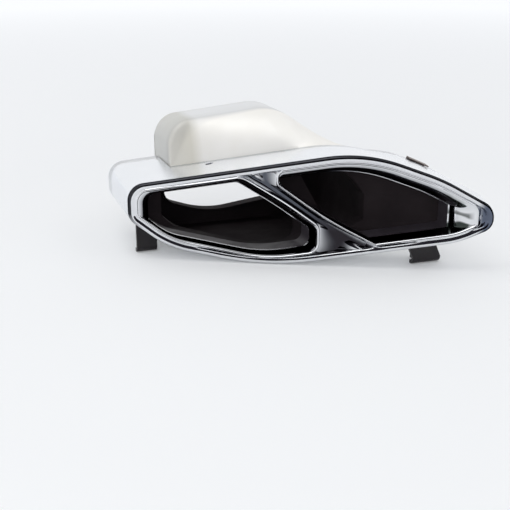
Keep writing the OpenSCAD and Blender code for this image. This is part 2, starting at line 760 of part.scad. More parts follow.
// Narrowing of the ground part at its left side, so that the upright plate covers it in front
left_foot_narrow = 3.4;
right_foot_narrow = 6;
module bracket(x, w, narrow, lean) {
    y = foot_set_back - x * tan(face_sweep);
    top_n = 6;
    shift = tan(lean);
    difference() {
        union() {
            translate([x, y + foot_sheet, 0])
            rotate([90, 0, 0])
            linear_extrude(height = foot_sheet)
            polygon(concat(
                [[w / 2, bend_top], [-w / 2, bend_top]],
                [for (k = [0 : top_n])
                    let (dx = mix(-w / 2, w / 2, k / top_n), z = plate_top(x + dx, shift, under_z(x + dx)))
                    [dx - (z - bend_top) * shift, z]]
            ));
            translate([x - w / 2 + narrow, y, 0])
            rotate([90, 0, 90])
            linear_extrude(height = w - narrow)
            foot_section(foot_l);
            translate([x - w / 2, y, 0])
            rotate([90, 0, 90])
            linear_extrude(height = w)
            foot_section(bend_top + 1);
        }
        translate([x + narrow / 2, y + foot_l - foot_bore_d / 2 - 3, -1])
        cylinder(d = foot_bore_d, h = foot_sheet + 2, $fn = 48);
    }
}
// Section of the fold, seen from the side
module foot_section(length) {
    outer_r = foot_bend_r + foot_sheet;
    translate([outer_r, 0])
    square([length - outer_r, foot_sheet]);
    intersection() {
        square([outer_r, outer_r]);
        translate([outer_r, outer_r])
        difference() {
            circle(r = outer_r, $fn = 64);
            circle(r = foot_bend_r, $fn = 64);
        }
    }
}
module left_bracket() {
    color([0.16, 0.16, 0.17])
    bracket(left_foot_x, left_foot_w, left_foot_narrow, 0);
}
module right_bracket() {
    color([0.16, 0.16, 0.17])
    bracket(right_foot_x, right_foot_w, right_foot_narrow, right_foot_lean);
}

// Edge clip: a folded spring sheet that grips the collar's rear edge
module edge_clip() {
    half = clip_w * 0.45;
    function rear_top(s) = risen([s, top_z(s)]);
    mid = rear_top(clip_s);
    tangent = unit(rear_top(clip_s + half) - rear_top(clip_s - half));
    outward = -inward(tangent);
    pieces = 4;
    stations = [for (k = [0 : pieces]) clip_w * (k / pieces - 0.5)];
    gap = 0.3;
    top = gap + clip_sheet;
    low = -collar_sheet - gap;
    // The collar's own slope, which both leaves follow
    slope = collar_rise / (collar_rear(clip_s) - seam_y);
    section = [
        [gap, -clip_l],
        [top, -clip_l],
        [top, gap + clip_sheet],
        [low - clip_sheet, gap + clip_sheet],
        [low - clip_sheet, -clip_l],
        [low, -clip_l],
        [low, gap],
        [gap, gap]
    ];
    m = len(section);
    cap = [[2, 1, 0], [2, 0, 7], [2, 7, 6], [2, 6, 3], [3, 6, 5], [3, 5, 4]];
    color([0.16, 0.16, 0.17])
    polyhedron(
        points = [for (e = stations) for (q = section)
            let (p = mid + tangent * e + outward * (q[0] + q[1] * slope))
            on_face(p, collar_rear(p[0]) + q[1])],
        faces = concat(
            flatten([for (i = [0 : pieces - 1]) strip(run_of(i * m, m), run_of((i + 1) * m, m))]),
            cap,
            [for (f = cap) [f[2] + pieces * m, f[1] + pieces * m, f[0] + pieces * m]]
        ),
        convexity = 4
    );
}

// The middle of the tip's length, from the bead at the right end to the collar's left rear edge
front_y = -(half_w - bead_crest_in) * forward;
rear_y = half_w * forward + collar_left_depth;
module centred() {
    translate([0, -(front_y + rear_y) / 2, 0]) children();
}

centred() bezel();
centred() collar();
centred() left_liner();
centred() right_liner();
centred() rear_housing();
centred() inner_duct();
centred() left_bracket();
centred() right_bracket();
centred() edge_clip();
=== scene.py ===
"""Twin-mouth exhaust tip: polished face, collar and housing dressed over the CAD frame."""

import math

import bmesh
import bpy
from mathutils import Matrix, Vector


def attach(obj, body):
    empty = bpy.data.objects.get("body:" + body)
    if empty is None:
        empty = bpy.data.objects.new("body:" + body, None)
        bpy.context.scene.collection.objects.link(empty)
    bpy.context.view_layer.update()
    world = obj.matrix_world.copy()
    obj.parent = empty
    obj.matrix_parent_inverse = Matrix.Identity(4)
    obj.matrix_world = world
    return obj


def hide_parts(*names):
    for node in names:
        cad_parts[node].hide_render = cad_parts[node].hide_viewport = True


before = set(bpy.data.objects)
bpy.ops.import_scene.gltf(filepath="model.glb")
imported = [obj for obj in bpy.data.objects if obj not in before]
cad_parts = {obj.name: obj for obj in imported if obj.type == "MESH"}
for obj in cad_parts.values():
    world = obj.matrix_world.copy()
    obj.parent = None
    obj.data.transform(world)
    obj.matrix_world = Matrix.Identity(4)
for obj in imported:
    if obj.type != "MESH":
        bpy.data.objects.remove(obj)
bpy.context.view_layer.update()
MM = 0.001

# Sizes, in millimetres, as in the part's source
FACE_W, FACE_H = 243.4, 75.2
SWEEP = math.radians(26)
RIM_CLEAR = 1.0
RIM_TOP_W, RIM_W, RIM_END_W = 5.7, 6.8, 11.5
SHEET = 1.3
SLIP = 0.2
DIVIDER_SLOPE, DIVIDER_W = 34.6, 8.6
VALLEY_DEPTH = 3.6
LEFT_NOSE_S, RIGHT_NOSE_S = 6.9, -19.3
THROAT_DEPTH = 15
LEFT_THROAT_IN, LEFT_DIVIDER_IN, LEFT_THROAT_END_IN = 5, 3.6, 9.5
RIGHT_THROAT_IN, RIGHT_THROAT_END_IN = 6.5, 10.8
STRAIGHT_IN, RIGHT_DIVIDER_IN, RIGHT_NOSE_IN = 0.3, 1.1, 4
COLLAR_DEPTH, COLLAR_LEFT_DEPTH, COLLAR_RIGHT_DEPTH = 36, 72, 12
TAPER_S = 84
SLOT_L, SLOT_W, SLOT_S, SLOT_N = 5.2, 3.4, -58, 48
LINER_SHEET, LINER_BAND, LINER_REACH, LINER_FLARE = 1.0, 14, 8, 2.6
HOUSING_LEFT, HOUSING_LOW_LEFT, HOUSING_RIGHT, HOUSING_REAR_RIGHT = -74.6, -85, 51, 36.5
HOUSING_H, SHOULDER_Y, HOUSING_Y, SPREAD = 95.6, 80.5, 118, 0.8
DUCT_W, DUCT_H, DUCT_SHEET, DUCT_L, DUCT_LIP = 95.6, 76, 1.1, 8, 3
COLLAR_RISE, RISE_BEFORE, RISE_OVER, RISE_HEIGHT = 3.6, 9, 24, 10
COLLAR_EDGE_R = 0.35
SEAT_REACH = 24
FLANK_FROM, FLANK_OVER, FLANK_BACK = 5, 40, 22
DOME_KNEE, DOME_ROWS = 0.3, 24
REAR_R, REAR_ROWS = 3, 6

HALF_W, HALF_H = FACE_W / 2, FACE_H / 2
LIFT = HALF_H + RIM_CLEAR
ALONG, FORWARD = math.cos(SWEEP), math.sin(SWEEP)
FRONT_Y = -(HALF_W - 2.2) * FORWARD
REAR_Y = HALF_W * FORWARD + COLLAR_LEFT_DEPTH
CENTRE_Y = (FRONT_Y + REAR_Y) / 2

# Points of the face are complex numbers: real along the face, imaginary up
LEAF = [
    (complex(-HALF_W, HALF_H - 24.6), 18),
    (complex(37.4, HALF_H + 3.3), 112),
    (complex(HALF_W - 33.7, HALF_H - 13.4), 120),
    (complex(HALF_W, 6.3), 12),
    (complex(HALF_W, -7.7), 10),
    (complex(HALF_W - 21.7, 19 - HALF_H), 60),
    (complex(-27.2, -HALF_H - 3.6), 235),
    (complex(26 - HALF_W, 8 - HALF_H), 64),
    (complex(-HALF_W, 26.7 - HALF_H), 10),
]
BEND_N = 16


def mix(a, b, t):
    return a + (b - a) * t


def smooth(t):
    c = max(0.0, min(1.0, t))
    return c * c * (3 - 2 * c)


def unit(v):
    return v / abs(v)


def cross(a, b):
    return a.real * b.imag - a.imag * b.real


def meet(p, u, q, w):
    return p + u * (cross(q - p, w) / cross(u, w))


def edge(c, i):
    return c[(i + 1) % len(c)][0] - c[i][0]


def lookup(x, table):
    """Straight-line interpolation in (key, value) pairs of rising keys."""
    if x <= table[0][0]:
        return table[0][1]
    for (x0, y0), (x1, y1) in zip(table, table[1:]):
        if x <= x1:
            return y0 if x1 == x0 else mix(y0, y1, (x - x0) / (x1 - x0))
    return table[-1][1]


def inset(c, d):
    """The outline c with edge i moved inwards by d[i], or all edges by d."""
    if not isinstance(d, (list, tuple)):
        d = [d] * len(c)
    out = []
    for i, (p, r) in enumerate(c):
        before = (i - 1) % len(c)
        u, w = unit(edge(c, before)), unit(edge(c, i))
        if abs(cross(u, w)) < 0.001:
            q = p - 1j * w * d[i]
        else:
            q = meet(p - 1j * u * d[before], u, p - 1j * w * d[i], w)
        out.append((q, max(0.6, r - min(d[before], d[i]))))
    return out


def bend(a, b, c, r, n=BEND_N):
    u, w = unit(a - b), unit(c - b)
    half = math.acos(max(-1.0, min(1.0, (u * w.conjugate()).real))) / 2
    room = 0.48 * min(abs(a - b), abs(c - b))
    if half > math.radians(89):
        return [mix(b + u * room / 2, b + w * room / 2, k / n) for k in range(n + 1)]
    reach = min(r / math.tan(half), room)
    mid = b + unit(u + w) * reach / math.cos(half)
    start, end = b + u * reach - mid, b + w * reach - mid
    turn = math.atan2(cross(start, end), (start * end.conjugate()).real)
    return [mid + start * complex(math.cos(turn * k / n), math.sin(turn * k / n)) for k in range(n + 1)]


def bends(c):
    m = len(c)
    return [bend(c[i - 1][0], c[i][0], c[(i + 1) % m][0], c[i][1]) for i in range(m)]


def span(a, b, n):
    return [mix(a, b, k / n) for k in range(1, n + 1)]


def outline(c, n):
    """The closed outline c, with n[i] facets on its edge i."""
    b = bends(c)
    out = []
    for i in range(len(c)):
        out += b[i] + span(b[i][-1], b[(i + 1) % len(c)][0], n[i])[:-1]
    return out


def stretch(c, i, j, n):
    """The stretch of outline c from the middle of bend i to the middle of bend j."""
    b, m, h = bends(c), len(c), BEND_N // 2
    count = (j - i) % m
    out = b[i][h:]
    for k in range(1, count + 1):
        here, before = (i + k) % m, (i + k - 1) % m
        out += span(b[before][-1], b[here][0], n[k - 1])
        out += b[here][1 : (h if k == count else BEND_N) + 1]
    return out


def between(c, start, at, end, n):
    """The stretch of outline c between points on two edges, round the bends in at."""
    every, h = bends(c), BEND_N // 2
    b = [every[i] for i in at]
    out = [start] + span(start, b[0][0], n[0] + h)
    for i, arc in enumerate(b):
        out += arc[1:]
        if i == len(b) - 1:
            out += span(arc[-1], end, n[-1] + h)
        else:
            out += span(arc[-1], b[i + 1][0], n[i + 1])
    return out


# Divider and mouths
DIVIDER_MID = -1.1j
DIVIDER_DIR = complex(math.cos(math.radians(DIVIDER_SLOPE)), -math.sin(math.radians(DIVIDER_SLOPE)))
LEFT_EDGES = [12, 16, 8, 4, 16]
RIGHT_EDGES = [10, 10, 10, 5, 5, 15]
INNER_EDGES = [12, 12, 6]
DIVIDER_N = 64


def divider_end(c, i):
    return meet(DIVIDER_MID, DIVIDER_DIR, c[i][0], unit(edge(c, i)))


def left_half(d):
    c = inset(LEAF, d)
    return between(c, divider_end(c, 5), [6, 7, 8, 0], divider_end(c, 0), LEFT_EDGES)


def right_half(d):
    c = inset(LEAF, d)
    return between(c, divider_end(c, 0), [1, 2, 3, 4, 5], divider_end(c, 5), RIGHT_EDGES)


INNER = inset(LEAF, [RIM_TOP_W] * 3 + [RIM_END_W] + [RIM_W] * 5)


def tilted(degrees):
    a = math.radians(DIVIDER_SLOPE - degrees)
    return complex(math.cos(a), -math.sin(a))


LEFT_WAIST = DIVIDER_MID - DIVIDER_DIR * 15 - 1j * DIVIDER_DIR * DIVIDER_W / 2
RIGHT_WAIST = DIVIDER_MID + DIVIDER_DIR * 15 + 1j * DIVIDER_DIR * DIVIDER_W / 2


def on_inner(i, p, u):
    return meet(INNER[i][0], unit(edge(INNER, i)), p, u)


LEFT_MOUTH = [
    (on_inner(5, complex(LEFT_NOSE_S, 0), 1j), 7),
    INNER[6],
    INNER[7],
    INNER[8],
    INNER[0],
    (on_inner(0, LEFT_WAIST, tilted(4.7)), 12),
    (LEFT_WAIST, 250),
    (meet(LEFT_WAIST, DIVIDER_DIR, complex(LEFT_NOSE_S, 0), 1j), 4),
]
RIGHT_MOUTH = [
    (on_inner(0, complex(RIGHT_NOSE_S, 0), 1j), 6),
    INNER[1],
    INNER[2],
    INNER[3],
    INNER[4],
    INNER[5],
    (on_inner(5, RIGHT_WAIST, tilted(8.3)), 3),
    (RIGHT_WAIST, 250),
    (meet(RIGHT_WAIST, DIVIDER_DIR, complex(RIGHT_NOSE_S, 0), 1j), 3),
]
LEFT_THROAT = inset(
    LEFT_MOUTH,
    [STRAIGHT_IN, STRAIGHT_IN, 3 * STRAIGHT_IN, LEFT_THROAT_END_IN]
    + [LEFT_THROAT_IN, LEFT_DIVIDER_IN, LEFT_DIVIDER_IN, STRAIGHT_IN],
)
RIGHT_THROAT = inset(
    RIGHT_MOUTH,
    [RIGHT_THROAT_IN] * 3
    + [RIGHT_THROAT_END_IN, STRAIGHT_IN, STRAIGHT_IN, RIGHT_DIVIDER_IN, RIGHT_DIVIDER_IN, RIGHT_NOSE_IN],
)


def share(k):
    t = k / DIVIDER_N
    return mix(t, (1 - math.cos(math.pi * t)) / 2, 0.6)


def shared(p):
    run = [0.0]
    for a, b in zip(p, p[1:]):
        run.append(run[-1] + abs(b - a))
    xs = [(r, q.real) for r, q in zip(run, p)]
    zs = [(r, q.imag) for r, q in zip(run, p)]
    return [complex(lookup(share(k) * run[-1], xs), lookup(share(k) * run[-1], zs)) for k in range(DIVIDER_N)]


def left_ring(c):
    return stretch(c, 0, 5, LEFT_EDGES)[:-1] + shared(stretch(c, 5, 0, INNER_EDGES))


def right_ring(c):
    return stretch(c, 0, 6, RIGHT_EDGES)[:-1] + shared(stretch(c, 6, 0, INNER_EDGES))


def on_face(p, y):
    """A point of the face's plane, y behind it, in the part's own frame."""
    return Vector((p.real * ALONG, y - p.real * FORWARD - CENTRE_Y, p.imag + LIFT))


# Meshes
def add_mesh(name, work, node, sharp):
    mesh = bpy.data.meshes.new(name)
    mesh.from_pydata([p * MM for p in work.points], [], work.faces)
    mesh.polygons.foreach_set("material_index", work.coats)
    bm = bmesh.new()
    bm.from_mesh(mesh)
    bmesh.ops.remove_doubles(bm, verts=bm.verts, dist=1e-6)
    bmesh.ops.recalc_face_normals(bm, faces=bm.faces)
    bm.to_mesh(mesh)
    bm.free()
    mesh.shade_smooth()
    mesh.set_sharp_from_angle(angle=math.radians(sharp))
    obj = bpy.data.objects.new(name, mesh)
    bpy.context.scene.collection.objects.link(obj)
    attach(obj, "root")
    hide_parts(node)
    return obj


class Patchwork:
    """Points and faces gathered from several grids."""

    def __init__(self):
        self.points, self.faces, self.coats = [], [], []

    def grid(self, rows, close_rows=False, close_columns=False, coated=None):
        """Faces between the rows; the strips from coated[0] to coated[1] take the second material."""
        base, n, m = len(self.points), len(rows[0]), len(rows)
        for row in rows:
            self.points += row
        for i in range(m if close_rows else m - 1):
            for k in range(n if close_columns else n - 1):
                a, b = base + i * n, base + ((i + 1) % m) * n
                k2 = (k + 1) % n
                self.faces.append((a + k, a + k2, b + k2, b + k))
                self.coats.append(1 if coated and coated[0] <= i <= coated[1] else 0)


def spline(column, corners, steps):
    """A smooth curve through the column's points, straight at its corners.
    steps[i] is the number of pieces between points i and i + 1."""
    out = [column[0]]
    last = len(column) - 1
    for i in range(last):
        a, b = column[i], column[i + 1]
        if steps[i] == 1:
            out.append(b)
            continue
        ta = b - a if i == 0 or i in corners else (b - column[i - 1]) * (b - a).length / (
            (b - a).length + (a - column[i - 1]).length)
        tb = b - a if i + 1 == last or i + 1 in corners else (column[i + 2] - a) * (b - a).length / (
            (b - a).length + (column[i + 2] - b).length)
        for k in range(1, steps[i] + 1):
            t = k / steps[i]
            out.append(
                a * (2 * t**3 - 3 * t**2 + 1) + ta * (t**3 - 2 * t**2 + t)
                + b * (3 * t**2 - 2 * t**3) + tb * (t**3 - t**2)
            )
    return out


def turned(rows):
    return [list(c) for c in zip(*rows)]


# Face frame
SKIRT_END, SEAM_Y = 10, 3.2
SKIRT_IN = SHEET + SLIP
BEAD_FOOT = 3.9
# The rim's rows as (inset from the leaf, depth behind the face)
RIM_FRONT = [(0, SEAM_Y), (0, 2.2), (0.7, 0.8), (2.2, 0.18), (BEAD_FOOT, 0.95)]
RIM_BACK = [
    (BEAD_FOOT, 0.9 + SHEET),
    (SKIRT_IN + SHEET, SEAM_Y + SHEET),
    (SKIRT_IN + SHEET, SKIRT_END),
    (SKIRT_IN, SKIRT_END),
    (SKIRT_IN, SEAM_Y),
    (0, SEAM_Y),
]
THROAT_STEPS = [(0.35, 0.12), (0.7, 0.42)]
# The lip round a mouth: how far its foot and crest lie outside the mouth, and their depths
FOOT_OUT, CREST_OUT = 1.9, 0.9
FOOT_Y, CREST_Y, LIP_Y, SHALLOW_Y = 1.9, 0.4, 1.2, 1.1
VALLEY_ENDS = 0.12  # share of the divider's length over which its valley deepens
# Width of the rolled hem at the throats' rear edge, by edge of the mouth
LEFT_HEM = [0.15, 0.15, 0.15, 0.3, 0.9, 0.9, 0.9, 0.15]
RIGHT_HEM = [0.9, 0.9, 0.9, 0.9, 0.15, 0.15, 0.15, 0.15, 0.3]


def cell_rows(border, mouth, throat, hem_in, sampler):
    """Rows of points from the border of a mouth's cell over its lip to the throat's end, and back."""
    foot, crest, lip = (sampler(inset(mouth, d)) for d in (-FOOT_OUT, -CREST_OUT, 0))
    back = sampler(throat)
    hem = sampler(inset(throat, hem_in))
    behind = sampler(inset(throat, -SHEET))
    lip_behind = sampler(inset(mouth, -SHEET))
    n = range(len(lip))
    deep = [smooth((abs(border[k] - foot[k]) - 2.5) / 4.5) for k in n]
    front = [
        [on_face(mix(border[k], foot[k], 0.4), mix(SHALLOW_Y, VALLEY_DEPTH, deep[k])) for k in n],
        [on_face(foot[k], mix(SHALLOW_Y, FOOT_Y, deep[k])) for k in n],
        [on_face(p, CREST_Y) for p in crest],
        [on_face(p, LIP_Y) for p in lip],
    ]
    for s, t in THROAT_STEPS:
        front.append([on_face(mix(lip[k], back[k], s), mix(LIP_Y, THROAT_DEPTH, t)) for k in n])
    front.append([on_face(p, THROAT_DEPTH - 1.6) for p in back])
    front.append([on_face(mix(back[k], hem[k], 0.25), THROAT_DEPTH - 0.7) for k in n])
    front.append([on_face(p, THROAT_DEPTH - 0.2) for p in hem])
    rear = [[on_face(p, THROAT_DEPTH) for p in hem], [on_face(p, THROAT_DEPTH) for p in behind]]
    for s, t in reversed(THROAT_STEPS):
        rear.append([on_face(mix(lip_behind[k], behind[k], s), mix(LIP_Y + SHEET, THROAT_DEPTH, t)) for k in n])
    over = [mix(lip_behind[k], foot[k], 0.5) for k in n]
    rear.append([on_face(over[k], mix(2.8, VALLEY_DEPTH + SHEET, deep[k])) for k in n])
    return front, rear


def make_bezel():
    work = Patchwork()
    halves = {d: (left_half(d), right_half(d)) for d, _ in RIM_FRONT + RIM_BACK}
    top, low = halves[BEAD_FOOT][0][-1], halves[BEAD_FOOT][0][0]
    valley = [mix(top, low, share(k)) for k in range(1, DIVIDER_N)]
    depth = [
        mix(0.9, VALLEY_DEPTH, smooth(min(share(k), 1 - share(k)) / VALLEY_ENDS)) for k in range(1, DIVIDER_N)
    ]
    for side, (mouth, throat, hem_in, sampler) in enumerate((
        (LEFT_MOUTH, LEFT_THROAT, LEFT_HEM, left_ring),
        (RIGHT_MOUTH, RIGHT_THROAT, RIGHT_HEM, right_ring),
    )):
        rim = halves[BEAD_FOOT][side]
        inner = list(valley) if side == 0 else valley[::-1]
        inner_y = list(depth) if side == 0 else depth[::-1]
        border = rim + inner
        n = len(rim)
        front, rear = cell_rows(border, mouth, throat, hem_in, sampler)
        rim_rows = [[on_face(p, y) for p in halves[d][side]] for d, y in RIM_FRONT]
        back_rows = [[on_face(p, y) for p in halves[d][side]] for d, y in RIM_BACK]
        steps = [1] + [4] * 3 + [4] * len(front) + [1] * (len(rear) + len(back_rows))
        columns = []
        corner = len(rim_rows) + len(front) - 1
        for k in range(n):
            column = [r[k] for r in rim_rows] + [r[k] for r in front + rear] + [r[k] for r in back_rows]
            # The two halves share their end columns as far as the bead's foot
            shared_end = {len(rim_rows) - 1} if k in (0, n - 1) else set()
            columns.append(spline(column, {1, corner} | shared_end, steps[: len(column) - 1]))
        work.grid(turned(columns), coated=(0, 7))
        # The divider's side, from the middle of its valley
        lead = sum(steps[: len(rim_rows) - 1])
        tail = len(back_rows) - 1
        cols = [columns[n - 1][lead : len(columns[0]) - tail]]
        inner_steps = [4] * len(front) + [1] * (len(rear) + 1)
        for k, (p, y) in enumerate(zip(inner, inner_y)):
            i = n + k
            here = [on_face(p, y)]
            first = front[0][i]
            phantom = on_face(p, y) * 2 - first
            phantom = phantom + (on_face(p, 0) - on_face(p, 1)) * (2 * (y - depth_of(first)))
            column = [phantom, here[0]] + [r[i] for r in front + rear] + [on_face(p, y + SHEET)]
            cols.append(spline(column, {len(front) + 1}, [1] + inner_steps)[1:])
        cols.append(columns[0][lead : len(columns[0]) - tail])
        work.grid(turned(cols))
    return add_mesh("face_frame", work, "bezel", 40)


def depth_of(v):
    """Depth behind the face of a point in the part's frame."""
    return v.y + CENTRE_Y + v.x / ALONG * FORWARD


# Collar
NOTCH_S = (HOUSING_LEFT - SPREAD - 2 * SLIP) / ALONG
LOW_NOTCH_S = (HOUSING_LOW_LEFT - SPREAD - 2 * SLIP) / ALONG
COLLAR_EDGES = [30, 8, 8, 3, 8, 16, 12, 8, 4]
HAIR = 0.005


def collar_rear(s):
    return mix(COLLAR_DEPTH, COLLAR_RIGHT_DEPTH, smooth((s - TAPER_S) / (HALF_W - TAPER_S)))


def whole_outline(d):
    return outline(inset(LEAF, d), COLLAR_EDGES)


def rolled(p, i):
    return p[i:] + p[:i]


GUIDE = whole_outline(0)
RIGHT_START = 4 * (BEND_N + 1)
LEFT_START = len(GUIDE) - BEND_N // 2
UPPER = sorted((p.real, p.imag) for p in GUIDE if p.imag > 0)
LOWER = sorted((p.real, p.imag) for p in GUIDE if p.imag < 0)


def past_notch(p):
    return p.real - (NOTCH_S if p.imag > 0 else LOW_NOTCH_S)


def risen(p):
    """A point of the collar's outline, raised as at its rear edge."""
    if p.imag <= 0:
        return p
    along = smooth((p.real - HOUSING_RIGHT / ALONG + RISE_BEFORE) / RISE_OVER)
    return p + 1j * COLLAR_RISE * along * smooth(p.imag / RISE_HEIGHT)


def part_of(p, guide, side):
    """The stretch of p to one side of the notch; the right one starts a hair's breadth away."""
    out = []
    apart = HAIR if side > 0 else 0
    for i in range(len(p)):
        n = (i + 1) % len(p)
        here, after = past_notch(guide[i]) * side - apart, past_notch(guide[n]) * side - apart
        if here > 0:
            out.append(p[i])
        if here * after < 0:
            out.append(mix(p[i], p[n], here / (here - after)))
    return out


def make_collar():
    work = Patchwork()
    inside = whole_outline(SHEET)
    for start, side, rear in (
        (RIGHT_START, -1, lambda s: COLLAR_LEFT_DEPTH),
        (LEFT_START, 1, collar_rear),
    ):
        outer = part_of(rolled(GUIDE, start), rolled(GUIDE, start), side)
        inner = part_of(rolled(inside, start), rolled(GUIDE, start), side)
        r = COLLAR_EDGE_R
        up = (lambda p: p) if side < 0 else risen
        rows = [
            [on_face(p, SEAM_Y) for p in inner],
            [on_face(p, SEAM_Y) for p in outer],
        ]
        for t in (0.25, 0.5, 0.75):
            rows.append([on_face(mix(p, up(p), t), mix(SEAM_Y, rear(p.real), t)) for p in outer])
        rows += [
            [on_face(up(p), rear(p.real) - r) for p in outer],
            [on_face(mix(up(p), up(q), 0.08), rear(p.real) - 0.3 * r) for p, q in zip(outer, inner)],
            [on_face(mix(up(p), up(q), 0.3), rear(p.real)) for p, q in zip(outer, inner)],
            [on_face(mix(up(p), up(q), 0.7), rear(p.real)) for p, q in zip(outer, inner)],
            [on_face(up(q), rear(p.real) - r) for p, q in zip(outer, inner)],
        ]
        work.grid(rows, close_rows=True)
        for k in (0, -1):
            ring = [row[k] for row in rows]
            base = len(work.points)
            work.points += ring
            work.faces.append(tuple(range(base, base + len(ring))))
            work.coats.append(0)
    return cut_slot(add_mesh("collar_band", work, "collar", 40))


def cut_slot(obj):
    """Cuts the slot with its round ends through the collar's top."""
    at = on_face(complex(SLOT_S, HALF_H - 12), COLLAR_DEPTH - 8)
    cutter = bmesh.new()
    ring = []
    for k in range(SLOT_N):
        a = 2 * math.pi * k / SLOT_N
        x = SLOT_W / 2 * math.cos(a) + math.copysign((SLOT_L - SLOT_W) / 2, math.cos(a))
        ring.append((at.x + x, at.y + SLOT_W / 2 * math.sin(a)))
    low, high = ([cutter.verts.new(Vector((x, y, at.z + d)) * MM) for x, y in ring] for d in (-6, 6))
    for k in range(SLOT_N):
        after = (k + 1) % SLOT_N
        cutter.faces.new((low[k], low[after], high[after], high[k]))
    cutter.faces.new(low[::-1])
    cutter.faces.new(high)
    mesh = bpy.data.meshes.new("slot_cutter")
    cutter.to_mesh(mesh)
    cutter.free()
    tool = bpy.data.objects.new("slot_cutter", mesh)
    bpy.context.scene.collection.objects.link(tool)
    cut = obj.modifiers.new("slot", "BOOLEAN")
    cut.operation, cut.solver, cut.object = "DIFFERENCE", "EXACT", tool
    bpy.context.view_layer.update()
    done = bpy.data.meshes.new_from_object(obj.evaluated_get(bpy.context.evaluated_depsgraph_get()))
    obj.modifiers.clear()
    obj.data = done
    bpy.data.objects.remove(tool)
    done.shade_smooth()
    done.set_sharp_from_angle(angle=math.radians(40))
    return obj


# Liners
# Widening behind the throat, by edge of the mouth, and how far along the face the wide end reaches
LEFT_FLARE = [-LINER_FLARE] * 3 + [0] * 5
RIGHT_FLARE = [0] * 4 + [-LINER_FLARE] * 2 + [0] * 3
LEFT_LIMITS = (HOUSING_LOW_LEFT / ALONG + SHEET + 2.2, 6)
RIGHT_LIMITS = (8, HOUSING_RIGHT / ALONG - SHEET - 3.7)


def drawn_in(ring, reach, to):
    return [complex(mix(to[0], to[1], (p.real - reach[0]) / (reach[1] - reach[0])), p.imag) for p in ring]


def make_liner(name, node, throat, flare, limits, sampler):
    band_end, neck, end = THROAT_DEPTH + LINER_BAND, COLLAR_DEPTH - 1, COLLAR_DEPTH + LINER_REACH
    inside, outside = sampler(throat), sampler(inset(throat, -LINER_SHEET))
    wide = inset(throat, flare)
    reach = (min(p.real for p in inside), max(p.real for p in inside))
    wide_in = drawn_in(sampler(wide), reach, limits)
    wide_out = drawn_in(sampler(inset(wide, -LINER_SHEET)), reach, limits)
    work = Patchwork()
    rows = [
        (inside, THROAT_DEPTH),
        (outside, THROAT_DEPTH),
        (outside, band_end),
        (wide_out, neck),
        (wide_out, end),
        (wide_in, end),
        (wide_in, neck),
        (inside, band_end),
    ]
    work.grid([[on_face(p, y) for p in ring] for ring, y in rows], True, True, (5, 6))
    return add_mesh(name, work, node, 30)


# Housing
SECTION_EDGES = [20, 12, 12, 10, 10, 10, 8, 6]
BELLY_Z, WAIST_Z, BELLY_R, WAIST_R = 49, 54.8, 7, 6
LEFT_S, LOW_LEFT_S, RIGHT_S = HOUSING_LEFT / ALONG, HOUSING_LOW_LEFT / ALONG, HOUSING_RIGHT / ALONG


def on_leaf(i, s):
    return meet(complex(s, 0), 1j, LEAF[i][0], unit(edge(LEAF, i)))


SEAT = [
    (on_leaf(0, LEFT_S), 5),
    (on_leaf(0, 4), 60),
    (complex(RIGHT_S, lookup(RIGHT_S, UPPER)), 8),
    (on_leaf(5, RIGHT_S), 8),
    (LEAF[6][0] + 0.5j, LEAF[6][1]),
    (on_leaf(6, LOW_LEFT_S), 5),
    (complex(LOW_LEFT_S, BELLY_Z - LIFT), BELLY_R),
    (complex(LEFT_S, WAIST_Z - LIFT), WAIST_R),
]
SEAT_TOP = [(p.real, p.imag) for p, _ in SEAT[:3]]
SEAT_LOW = [(p.real, p.imag) for p, _ in (SEAT[5], SEAT[4])]
SHOULDER = [
    (complex(HOUSING_LEFT, HOUSING_H - 8.1), 28),
    (complex(4, HOUSING_H), 40),
    (complex(HOUSING_RIGHT, HOUSING_H - 33.1), 14),
    (complex(HOUSING_RIGHT, 0), 24),
    (complex(-20, 0), 100),
    (complex(HOUSING_LOW_LEFT, 0), 22),
    (complex(HOUSING_LOW_LEFT, BELLY_Z), BELLY_R),
    (complex(HOUSING_LEFT, WAIST_Z), WAIST_R),
]
REAR = [
    (complex(HOUSING_LEFT - SPREAD, HOUSING_H - 9.1), 27),
    (complex(3, HOUSING_H - 1.8), 30),
    (complex(HOUSING_REAR_RIGHT, HOUSING_H - 19.6), 14),
    (complex(HOUSING_REAR_RIGHT, 0), 28),
    (complex(-20, 0), 100),
    (complex(HOUSING_LOW_LEFT - SPREAD, 0), 24),
    (complex(HOUSING_LOW_LEFT - SPREAD, BELLY_Z), BELLY_R),
    (complex(HOUSING_LEFT - SPREAD, WAIST_Z), WAIST_R),
]
DUCT_LEFT, DUCT_LOW = HOUSING_LEFT + 2.5, 10.1
DUCT_TOP, DUCT_RIGHT = DUCT_LOW + DUCT_H, DUCT_LEFT + DUCT_W
DUCT = [
    (complex(DUCT_LEFT, DUCT_TOP - 6), 26),
    (complex(mix(DUCT_LEFT, DUCT_RIGHT, 0.6), DUCT_TOP), 60),
    (complex(DUCT_RIGHT, DUCT_TOP - 9), 20),
    (complex(DUCT_RIGHT, DUCT_LOW + 8), 12),
    (complex(mix(DUCT_LEFT, DUCT_RIGHT, 0.36), DUCT_LOW), 100),
    (complex(DUCT_LEFT, DUCT_LOW + 12), 12),
    (complex(DUCT_LEFT, BELLY_Z - 4), 8),
    (complex(DUCT_LEFT, WAIST_Z), 8),
]


